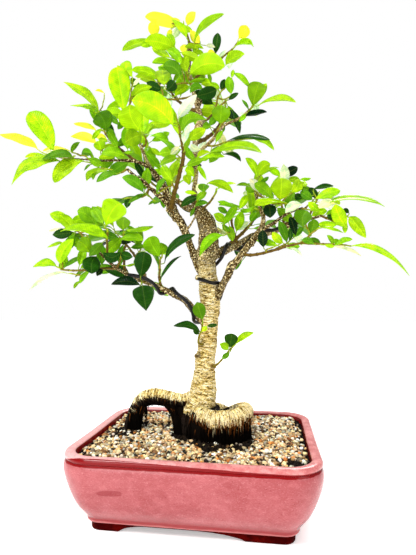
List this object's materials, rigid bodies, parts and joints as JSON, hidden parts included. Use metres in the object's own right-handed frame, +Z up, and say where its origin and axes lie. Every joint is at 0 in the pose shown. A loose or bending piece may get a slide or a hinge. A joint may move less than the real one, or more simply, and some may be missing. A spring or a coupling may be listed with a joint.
{
  "type": "potted bonsai tree",
  "caption": "Informal upright bonsai tree with arched surface roots and a leafy, loosely branched crown, wired and planted in a rectangular glazed ceramic pot topped with gravel.",
  "frame": {"origin": "centre of the pot's footprint, on the surface that it stands on", "axes": "+Z up along the trunk, +X to the right of the tree's front along the pot's long side, +Y to the back of the tree along the pot's short side"},
  "size_m": [0.4637, 0.2076, 0.585],
  "materials": {
    "glaze": "gloss",
    "soil": "matte",
    "gravel": "matte",
    "mesh_plastic": "matte",
    "bark": "matte",
    "leaf": "satin",
    "wire": "satin"
  },
  "bodies": {
    "root": {"pot": "glaze", "soil": "soil", "gravel_layer": "gravel", "drainage_mesh_left": "mesh_plastic", "drainage_mesh_right": "mesh_plastic", "trunk_and_roots": "bark", "training_wire": "wire", "apex_shoot": "leaf", "top_left_shoot": "leaf", "top_right_shoot": "leaf", "top_centre_shoot": "leaf", "crown_left_shoot": "leaf", "crown_low_left_shoot": "leaf", "tall_leaf_shoot": "leaf", "crown_front_shoot": "leaf", "crown_right_shoot": "leaf", "crown_outer_right_shoot": "leaf", "left_tip_shoot": "leaf", "left_tip_inner_shoot": "leaf", "left_high_shoot": "leaf", "left_under_shoot": "leaf", "centre_left_shoot": "leaf", "front_shoot": "leaf", "centre_right_shoot": "leaf", "centre_low_shoot": "leaf", "leader_shoot": "leaf", "trunk_top_shoot": "leaf", "front_twig_shoot": "leaf", "right_high_shoot": "leaf", "right_inner_shoot": "leaf", "right_upper_shoot": "leaf", "right_middle_shoot": "leaf", "right_outer_shoot": "leaf", "right_pad_shoot": "leaf", "right_pad_front_shoot": "leaf", "right_low_shoot": "leaf", "right_tip_shoot": "leaf", "right_crotch_shoot": "leaf", "right_bud_shoot": "leaf", "low_left_tip_shoot": "leaf", "low_left_front_shoot": "leaf", "low_left_upper_shoot": "leaf", "low_left_outer_shoot": "leaf", "low_left_inner_shoot": "leaf", "low_left_bud_shoot": "leaf", "low_left_hanging_shoot": "leaf", "low_left_upright_shoot": "leaf", "left_lower_shoot": "leaf", "trunk_left_sprout": "leaf", "trunk_right_sprout": "leaf", "back_right_shoot": "leaf", "back_left_shoot": "leaf", "back_upper_shoot": "leaf", "back_crown_shoot": "leaf", "back_right_low_shoot": "leaf", "back_left_low_shoot": "leaf"}
  },
  "joints": []
}
